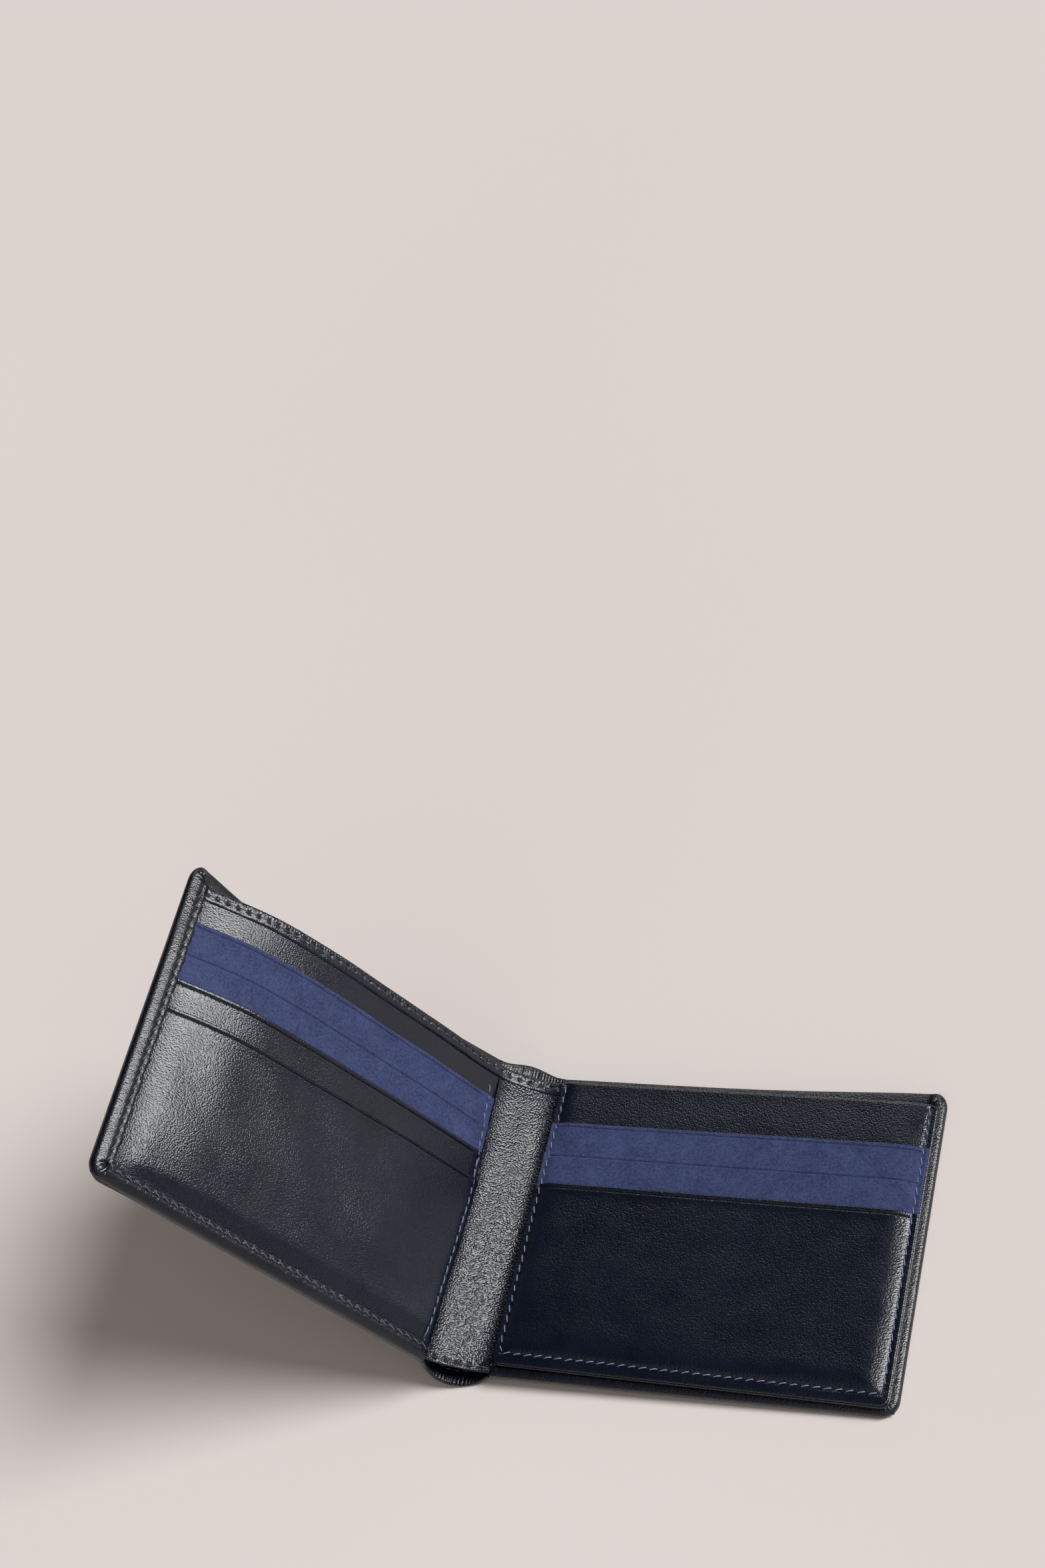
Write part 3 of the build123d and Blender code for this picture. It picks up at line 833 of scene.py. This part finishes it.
HALF_TURN = radians(30)
CROSS = np.array((-SPINE_U, ALONG, np.cross(-SPINE_U, ALONG)))
FOLD_TO_FACE = PANEL_FACE - FOLD_HEIGHT / MM
CURVE_T = np.linspace(1, -1, 401)
CURVE_TURN = HALF_TURN * (0.35 * CURVE_T + 0.65 * CURVE_T**3)
CHORD = SPINE_WIDTH - 2 * FOLD_TO_FACE * sin(HALF_TURN)
SPINE_RUN = CHORD / np.cos(CURVE_TURN).mean()
CURVE_S = np.linspace(0, SPINE_RUN, 401)
CURVE_STEP = CURVE_S[1]
CURVE_X = -FOLD_TO_FACE * sin(HALF_TURN) - np.cumsum([0, *np.cos(CURVE_TURN)[:-1] * CURVE_STEP])
CURVE_Z = FOLD_TO_FACE * cos(HALF_TURN) - np.cumsum([0, *np.sin(CURVE_TURN)[:-1] * CURVE_STEP])


def spine_world(x, v, z):
    """From the spine's frame: x back towards the right cover from its fold, z up."""
    return RIGHT_FOLD + np.stack([x, v, z], -1) @ CROSS * MM


def spine_shift(share, v):
    """Carries the lower edge's drift from one cover to the other; share runs from 0 to 1 over the spine."""
    from_right, from_left = RIGHT.lower_shift(0.0, v), LEFT.lower_shift(0.0, v)
    return from_right + (from_left - from_right) * np.clip(share, 0, 1)


def across(points):
    """From (s, v, h), s along the spine from the right fold line, to the row frame."""
    s, v, h = np.asarray(points, float).T
    turn = np.interp(s, CURVE_S, CURVE_TURN)
    x = np.interp(s, CURVE_S, CURVE_X) - np.sin(turn) * (h - PANEL_FACE)
    z = np.interp(s, CURVE_S, CURVE_Z) + np.cos(turn) * (h - PANEL_FACE)
    on_arc = spine_world(x, v + spine_shift(s / SPINE_RUN, v), z)
    on_right = RIGHT.world(np.stack([-s, v, h], -1))
    on_left = LEFT.world(np.stack([s - SPINE_RUN, v, h], -1))
    out = np.where((s < 0)[:, None], on_right, on_arc)
    return np.where((s > SPINE_RUN)[:, None], on_left, out)


HALVES = (("right", -U_JOIN, SPINE_RUN / 2), ("left", SPINE_RUN / 2, SPINE_RUN + U_JOIN))
BEND_REACH, BEND_HEIGHT = 5.5, 2.0  # how far from the fold, and at what height, spine_half reads each half's end points


def spine_half(obj, side, node):
    """Bakes the half's placement into its mesh. The right half stands for
    the CAD node, if there is one."""
    if side == "right":
        bodies, ends = ("right_cover", "spine"), (-U_JOIN, BEND_REACH)
    else:
        bodies, ends = ("spine", "left_cover"), (SPINE_RUN - BEND_REACH, SPINE_RUN + U_JOIN)
    start, end = across([(s, 0, BEND_HEIGHT) for s in ends])
    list(bodies)
    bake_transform(obj)
    if side == "right" and node:
        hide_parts(node)


def strip_section():
    low, high = -HALF + 1.0, PANEL_MAX[1] - 0.3
    face, back = PANEL_FACE, PANEL_FOOT
    points = [(low + 0.02, back + 0.1), (low - 0.1, back + 0.35)]
    points += [(low + 0.03, face - 0.14), (low + 0.25, face - 0.01)]
    for v in np.concatenate([np.linspace(low + 0.7, low + 4, 10), np.linspace(low + 5, high, 62)]):
        points.append((v, face))
    points += [(high, back), (0, back), (low + 3, back), (low + 0.3, back)]
    return np.array(points)


STRIP_CROWN = 1.7
STRIP_ROW_V = -HALF + 2.3  # the stitches across the strip's lower end


def strip_relief(first, last):
    """A soft crown, faint creases, and a row of needle holes along the lower edge. The crown stays low
    at the right fold, where the flip leaf turns past it."""
    dip = row_dip([(first, STRIP_ROW_V), (last, STRIP_ROW_V)], 0.34, 0.12)

    def relief(s, v, h):
        on_face = smooth(h, PANEL_FACE - 0.3, PANEL_FACE - 0.05) * smooth(-v, -41.5, -34)
        crinkle = 0.014 * np.sin(v * 1.9 + 2.2 * np.sin(s * 0.7)) + 0.012 * np.sin(v * 3.1 - s * 1.4 + 0.8)
        crinkle += 0.03 * np.sin(s * 0.55 + 0.8 * np.sin(v * 0.21)) + 0.05 * np.sin(v * 0.27 + s * 0.25)
        crown = STRIP_CROWN * (1 - (v / HALF) ** 2) * smooth(v, -HALF, -HALF + 6.0) * smooth(s, 0.5, 8.5)
        return on_face * ((crinkle + crown) * smooth(v, -HALF + 2.2, -HALF + 6.0) - dip(s, v))

    return relief


for side, first, last in HALVES:
    stations = np.linspace(first, last, 40)
    relief = strip_relief(first + 0.3, last - 0.02)
    strip = swept(f"spine_strip_{side}", stations, strip_section(), relief, across, SPINE)
    finish_piece(strip, "inner_leather")
    spine_half(strip, side, "spine_inner_strip")
    relief = binding_relief(first, last - 0.02)
    edge = swept(f"spine_binding_{side}", stations, binding_section(), relief, across, INNER)
    finish_piece(edge, "binding_leather")
    spine_half(edge, side, "spine_top_binding")
    low_row = stitch_row(
        f"spine_strip_stitches_{side}", RIGHT,
        [(first + 0.3, STRIP_ROW_V), (last - 0.02, STRIP_ROW_V)], level(PANEL_FACE), None,
        THREAD_DARK, slant=5, size=0.42, hole=0.34, hole_drop=0.25, curve=across,
    )
    top_row = stitch_row(
        f"spine_binding_stitches_{side}", RIGHT, [(first, BINDING_ROW), (last - 0.02, BINDING_ROW)],
        level(BINDING_MAX[2]), None, THREAD_DARK, slant=5, hole=0.46, hole_drop=0.30, curve=across,
    )
    spine_half(low_row, side, "spine_strip_thread")
    spine_half(top_row, side, "spine_binding_thread")

# the outer leather hangs under the strip in a round bulge
BULGE, BULGE_TOP = 8.0, 2.4  # its depth at the lower end and at the open top
BULGE_HALF = SPINE_WIDTH / 2 + FOLD_HEIGHT / MM * sin(HALF_TURN)
BULGE_CHORD_Z = -FOLD_HEIGHT / MM * cos(HALF_TURN)
BULGE_BOW_LOW, BULGE_BOW_TOP = 1.6, 2.0  # how far its ends reach past the covers' edges


def bulge_profile(depth):
    """Outer face of the leather, from the right cover to the spine's middle: (x, z), normals and shares."""
    radius = (BULGE_HALF**2 + depth**2) / (2 * depth)
    centre_z = BULGE_CHORD_Z - depth + radius
    reach = np.arccos((radius - depth) / radius)
    slope = np.array((cos(HALF_TURN), sin(HALF_TURN)))
    corner = np.array((BULGE_HALF - SPINE_WIDTH / 2, BULGE_CHORD_Z))
    straight = [corner + u * slope for u in np.linspace(2.4, 0.1, 20)]
    turns = np.linspace(reach, -0.5, 110)
    arc = [(-SPINE_WIDTH / 2 + radius * sin(t), centre_z - radius * cos(t)) for t in turns]
    line = np.array([*straight, *arc])
    run = run_along(line)
    even = np.linspace(0, run[-1], 240)
    line = resample(even, run, line)
    weights = np.exp(-(((even[:, None] - even[None, :]) / 0.55) ** 2))
    line = weights @ line / weights.sum(1)[:, None]
    normal = side_normals(line)
    along = (line - corner) @ slope
    keep = (line[:, 0] >= -SPINE_WIDTH / 2) & ~((line[:, 0] > 0) & (along > U_JOIN))
    line = np.vstack([corner + U_JOIN * slope, line[keep], (-SPINE_WIDTH / 2, centre_z - radius)])
    normal = np.vstack([(-slope[1], slope[0]), normal[keep], (0, 1)])
    run = run_along(line)
    share = np.concatenate([[0], np.linspace(0.002, 1, 64)])
    return resample(share * run[-1], run, line), resample(share * run[-1], run, normal), share


def bulge_section():
    """(v, depth from the outer face) with the hems turned in at both ends."""
    fold = LEATHER + HEM
    points = []
    for sign in (-1, 1):
        side = []
        for t in np.linspace(90, -90, 9):
            reach, drop = fold / 2 * cos(radians(t)), fold / 2 * sin(radians(t))
            side.append((sign * (HALF - fold / 2 + reach), fold / 2 - drop))
        side.append((sign * (HALF - HEM_WIDTH + 0.1), fold))
        side.append((sign * (HALF - HEM_WIDTH), fold - 0.1))
        side.append((sign * (HALF - HEM_WIDTH), LEATHER))
        points.append(side)
    outer = [(v, 0.0) for v in np.linspace(-HALF + 2, HALF - 2, 40)]
    inner = [(v, LEATHER) for v in np.linspace(HALF - HEM_WIDTH - 1, -HALF + HEM_WIDTH + 1, 20)]
    return np.array(outer + points[1] + inner + points[0][::-1])


PROFILES = [bulge_profile(depth) for depth in (BULGE, BULGE_TOP)]


def bulge_world(side, part, v, depth):
    """part runs from 0 at the fold to 1 at the spine's middle; depth is measured in from the outer face.
    The bulge is deep at the spine's lower end and shallow at the mouth of the note compartment."""
    outlines = []
    for line, normal, share in PROFILES:
        x, z, inward_x, inward_z = [np.interp(part, share, column) for column in (*line.T, *normal.T)]
        outlines.append(np.stack([x + inward_x * depth, z + inward_z * depth]))
    x, z = outlines[0] + (outlines[1] - outlines[0]) * smooth(v, -25, 42)
    bow = np.sin(pi / 2 * part) ** 2 * smooth(np.abs(v), 20, HALF)
    over = part / 2
    if side == "left":
        x = -SPINE_WIDTH - x
        over = 1 - over
    shifted = v + spine_shift(over, v) + bow * np.where(v < 0, -BULGE_BOW_LOW, BULGE_BOW_TOP)
    return spine_world(x, shifted, z)


def bulge_relief(part, v, depth):
    """The turned-in hems pucker into fine ribs."""
    rib = 0.14 * np.sin(part * 11 * 2 * pi) + 0.05 * np.sin(part * 23 * 2 * pi + 1.0)
    return rib * smooth(np.abs(v), HALF - 4.4, HALF - 2.2) * (depth > LEATHER)


CLOTH = 0.16  # the note lining's thickness
CLOTH_V = HALF - HEM_WIDTH - 0.1
CLOTH_SECTION = [(v, LEATHER + 0.02) for v in np.linspace(-CLOTH_V, CLOTH_V, 30)]
CLOTH_SECTION += [(v, LEATHER + 0.02 + CLOTH) for v in np.linspace(CLOTH_V, -CLOTH_V, 30)]


def row_length(v):
    steps = bulge_world("right", np.linspace(0, 1, 60), np.full(60, v), np.full(60, LEATHER + HEM))
    return float(np.linalg.norm(np.diff(steps, axis=0), axis=1).sum()) / MM


def make_bulge(side):
    def place(points):
        return bulge_world(side, *np.asarray(points, float).T)

    parts = PROFILES[0][2]
    outer = swept(f"spine_outer_{side}", parts, bulge_section(), bulge_relief, place, OUTER)
    finish_piece(outer, "outer_leather")
    cloth_name = f"spine_note_cloth_{side}"
    cloth = swept(cloth_name, parts, np.array(CLOTH_SECTION), lambda s, v, h: 0 * s, place, LINING)
    finish_piece(cloth, "lining")
    width = row_length(0.0) * MM
    spine_half(outer, side, "spine_outer_leather")
    spine_half(cloth, side, "spine_note_lining")
    for end, v, node in (("low", -HEM_ROW, "spine_hem_thread"), ("top", HEM_ROW, None)):
        run = row_length(v)
        hem = stitch_row(
            f"spine_hem_stitches_{end}_{side}", RIGHT, [(0.3, v), (run, v)], level(LEATHER + HEM),
            None, THREAD_DARK, slant=5, curve=lambda points: place(points / (run, 1, 1)),
        )
        spine_half(hem, side, node)


for side in ("right", "left"):
    make_bulge(side)

# ---------------------------------------------------------------- flip leaf

FLAP_MIN, FLAP_MAX = RIGHT.local("flap_wrap_leather")
FLAP_BACK = FLAP_MIN[2]
FLAP_POCKETS = [RIGHT.local(name)[1] for name in ("flap_pocket_1", "flap_pocket_2", "flap_front_pocket")]
FLAP_TOPS = [corner[1] for corner in FLAP_POCKETS]
FLAP_FACES = [FLAP_MAX[2]] + [corner[2] for corner in FLAP_POCKETS]
FLAP_BOX = (FLAP_MIN[0], FLAP_MAX[0], FLAP_MIN[1], FLAP_MAX[1])
FLAP_CORNER = 2.5
FLAP_SEAM, FLAP_FOOT_SEAM = 2.0, 3.0  # the seam's inset at the sides and at the foot


def flap_row():
    """The seam runs down the fold side, along the foot and up the outer side."""
    u0, u1 = FLAP_BOX[0] + FLAP_SEAM, FLAP_BOX[1] - FLAP_SEAM
    v0, v1 = FLAP_BOX[2] + FLAP_FOOT_SEAM, FLAP_BOX[3] - 1.4
    radius = 1.5
    row = [(u0, v1), (u0, v0 + radius)]
    row += [(u0 + radius * (1 - cos(t)), v0 + radius * (1 - sin(t))) for t in np.linspace(0, pi / 2, 7)[1:]]
    row += [(u1 - radius * (1 - sin(t)), v0 + radius * (1 - cos(t))) for t in np.linspace(0, pi / 2, 7)]
    return row + [(u1, v1)]


FLAP_ROW = flap_row()
FLAP_DIP = row_dip(FLAP_ROW, 0.36, 0.12)


def flap_height(level_mm, top=None):
    """Height of a layer of the flip leaf: drawn in along the seam, and creased under its top edge."""

    def height(u, v):
        crown = 0.25 * np.sin(u * 0.045 + 0.6) * np.sin((v + 43) * 0.06)
        near = np.minimum(np.minimum(u - FLAP_BOX[0], FLAP_BOX[1] - u), v - FLAP_BOX[2])
        pressed = 0.66 + 0.34 * smooth(near, 0.6, 5.0 + 2.0 * smooth(u, 60, 100))
        h = FLAP_BACK + (level_mm - FLAP_BACK) * pressed + crown * smooth(near, 2, 12)
        rise = 1 - smooth(v, FLAP_BOX[3] - 16, FLAP_BOX[3] + 2)
        h = h + 0.5 * rise * smooth(near, 1, 9)
        h = h - FLAP_DIP(u, v)
        if top is not None:
            inside = smooth(u, FLAP_BOX[0] + 1.0, FLAP_BOX[0] + 3.0)
            inside = inside * smooth(-u, -FLAP_BOX[1] + 1.0, -FLAP_BOX[1] + 3.0)
            crease = 0.38 * bump(v, top - CREASE_INSET, CREASE_WIDTH) * inside
            h = h + pocket_edge(v, top) - crease
        return h

    return height


def flap_place(points):
    """The flip leaf lies a little askew on its cover."""
    points = np.array(points, float)
    u, v = points[:, 0], points[:, 1]
    lower = smooth(-v, -20, 40)
    points[:, 1] = v + (0.9 - 0.0125 * u) * lower + (0.45 - 0.003 * u) * (1 - lower)
    points[:, 0] = u - 0.9 * (1 - smooth(u, 0, 60)) + 0.4 * smooth(u, 70, 110)
    return RIGHT.world(points)


FLAP_LAYERS = (
    ("flap_wrap", FLAP_BOX[3], INNER, "inner_leather", "flap_wrap_leather"),
    ("flap_pocket_leather_1", FLAP_TOPS[0], BLUE, "blue_nubuck", "flap_pocket_1"),
    ("flap_pocket_leather_2", FLAP_TOPS[1], BLUE, "blue_nubuck", "flap_pocket_2"),
    ("flap_front_leather", FLAP_TOPS[2], INNER, "inner_leather", "flap_front_pocket"),
)
FLAP_INSET = (0.0, 0.45, 0.45, 0.2)
for k, (name, top, material, slot_name, node) in enumerate(FLAP_LAYERS):
    foot = level(FLAP_BACK) if k == 0 else flap_height(FLAP_FACES[k - 1])
    inset = FLAP_INSET[k]
    layer = plate(
        name, RIGHT, (FLAP_BOX[0] + inset, FLAP_BOX[1] - inset, FLAP_BOX[2] + inset, top), foot,
        flap_height(FLAP_FACES[k], None if k == 0 else top), material,
        radii=[FLAP_CORNER] * 4 if k == 0 else [FLAP_CORNER, FLAP_CORNER, 0, 0],
        edges=(0.45, 0.45, 0.45, 1.2 if k == 0 else 0.38), step=1.6,
        fine_u=(FLAP_BOX[0] + FLAP_SEAM, FLAP_BOX[1] - FLAP_SEAM),
        fine_v=(FLAP_BOX[2] + FLAP_FOOT_SEAM, top - 1.25), place=flap_place,
    )
    finish_piece(layer, slot_name, "flap", [node])


def flap_face(u, v):
    face = flap_height(FLAP_FACES[0])(u, v)
    for k, top in enumerate(FLAP_TOPS):
        face = np.where(v < top, flap_height(FLAP_FACES[k + 1])(u, v), face)
    return face + 0.10


stitch_row(
    "flap_seam_stitches", RIGHT, FLAP_ROW, flap_face, "flap", THREAD_LIGHT, ["flap_seam_thread"],
    hole_drop=0.08, curve=flap_place,
)

# the strip that hangs the flip leaf on the cover turns back on itself at the fold side
STRIP_MIN, STRIP_MAX = RIGHT.local("flap_hinge_strip")
STRIP_THICK = 0.3


def hinge_strip():
    low, high = STRIP_MIN[2] + STRIP_THICK / 2, STRIP_MAX[2] - STRIP_THICK / 2
    radius = (high - low) / 2
    turn_u = STRIP_MIN[0] + 0.8
    line = [(u, low) for u in np.linspace(STRIP_MAX[0], turn_u, 14)]
    for t in np.linspace(0.2, pi - 0.2, 11):
        line.append((turn_u - radius * 1.6 * sin(t), low + radius - radius * cos(t)))
    line += [(u, high) for u in np.linspace(turn_u, STRIP_MAX[0], 14)]
    line = np.array(line)
    normal = -side_normals(line) * STRIP_THICK / 2
    rows_v = np.linspace(STRIP_MIN[1], STRIP_MAX[1], 36)
    sheets = []
    for sign in (1, -1):
        side_line = line + normal * sign
        u, v = np.meshgrid(side_line[:, 0], rows_v, indexing="ij")
        h, _ = np.meshgrid(side_line[:, 1], rows_v, indexing="ij")
        sheets.append(np.stack([u, v, h], -1).reshape(-1, 3))
    faces = closed_grid(len(line), len(rows_v))
    obj = mesh_object("flap_hinge_leather", RIGHT.world(np.concatenate(sheets)), faces, INNER, 60)
    finish_piece(obj, "inner_leather")
    start, end = RIGHT.world([(2.0, 0, low), (2.0, 0, high)])
    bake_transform(obj)
    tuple(start)
    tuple(end)
    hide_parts("flap_hinge_strip")


hinge_strip()

# ---------------------------------------------------------------- linings, and the boards under them

SLACK = 0.03


def slack(u, v):
    """A stretched cloth's slight waves."""
    return SLACK * np.sin(u * 0.30 + v * 0.17) * np.sin(v * 0.21 + 0.8)


def lining(name, leaf, node, body, lift):
    """A cloth lining: one thin closed sheet, a little wavy, inside its CAD node's space."""
    low, high = leaf.local(node)
    cloth = plate(
        name, leaf, (low[0], high[0], low[1], high[1]),
        lambda u, v: low[2] + SLACK + slack(u, v) + lift(u, v),
        lambda u, v: high[2] - SLACK + slack(u, v) + lift(u, v), LINING,
        edges=(0.05, 0.05, 0.05, 0.05), step=2.5,
    )
    finish_piece(cloth, "lining", body, [node])


lining("right_note_cloth", RIGHT, "right_note_lining", "right_cover", level(0.0))
lining("left_note_cloth", LEFT, "left_note_lining", "left_cover", level(0.0))
lining("left_pocket_cloth", LEFT, "left_pocket_lining", "left_cover", puff)
lining("flap_cloth", RIGHT, "flap_lining", "flap", level(0.0))

for name, obj in frame["nodes"].items():
    if obj.hide_render:
        continue
    obj.data.materials.clear()
    obj.data.materials.append(BOARD if "stiffener" in name else LINING)

# ---------------------------------------------------------------- floor, light and camera


def floor():
    mat = Material("seamless_paper")
    mat.colour(mat.noise(1.2, 2.0, 0.5), 0.3, (0.610, 0.556, 0.536), 0.7, (0.650, 0.600, 0.580))
    grain = mat.noise(900, 2.0, 0.5)
    mat.rough(grain, 0.75, 0.9)
    mat.bumps(grain, 0.00002)
    paper = mat.plain(Specular_IOR_Level=0.2)
    reach = 3.0
    verts = [(-reach, -reach, 0), (reach, -reach, 0), (reach, reach, 0), (-reach, reach, 0)]
    obj = mesh_object("floor", verts, [(0, 1, 2, 3)], paper)
    obj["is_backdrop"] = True


def sun(name, towards, spread_deg, strength, colour=(1, 1, 1), gloss_only=False):
    """Light from a wide soft source far away; towards points at it. A gloss-only one is just reflected."""
    data = bpy.data.lights.new(name, "SUN")
    data.angle = radians(spread_deg)
    data.energy = strength
    data.color = colour
    obj = bpy.data.objects.new(name, data)
    bpy.context.scene.collection.objects.link(obj)
    obj.rotation_mode = "QUATERNION"
    obj.rotation_quaternion = Vector(towards).to_track_quat("Z", "Y")
    obj.visible_diffuse = not gloss_only


def world(colour, strength):
    scene_world = bpy.data.worlds.new("studio")
    scene_world.use_nodes = True
    back = scene_world.node_tree.nodes["Background"]
    back.inputs["Color"].default_value = (*colour, 1)
    back.inputs["Strength"].default_value = strength
    scene_world.cycles_visibility.glossy = False
    bpy.context.scene.world = scene_world


def camera():
    data = bpy.data.cameras.new("camera")
    data.lens = 58.768
    data.sensor_fit = "AUTO"
    data.sensor_width = 36
    data.clip_start, data.clip_end = 0.01, 20
    obj = bpy.data.objects.new("camera", data)
    bpy.context.scene.collection.objects.link(obj)
    right = Vector((0.9099, 0.2291, -0.3457)).normalized()
    up = Vector((0.0093, 0.8220, 0.5694))
    back = right.cross(up).normalized()
    up = back.cross(right)
    turn = Matrix((right, up, back)).transposed()
    obj.matrix_world = Matrix.Translation((0.27215, -0.26980, 0.60183)) @ turn.to_4x4()
    bpy.context.scene.camera = obj


floor()
world((1.0, 0.95, 0.92), 0.11)
sun("key", (0.64, 0.19, 0.75), 26, 3.7)
sun("fill", (0.35, -0.75, 0.55), 90, 0.85, (1.0, 0.94, 0.90))
sun("window", (0.848, 0.303, 0.436), 20, 1.9, gloss_only=True)
sun("back", (-0.12, 0.80, 0.55), 36, 0.95, gloss_only=True)
camera()
bpy.context.scene.view_settings.view_transform = "Standard"

boxes = [[list(corner) for corner in box] for box in (CAD_BOX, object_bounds())]
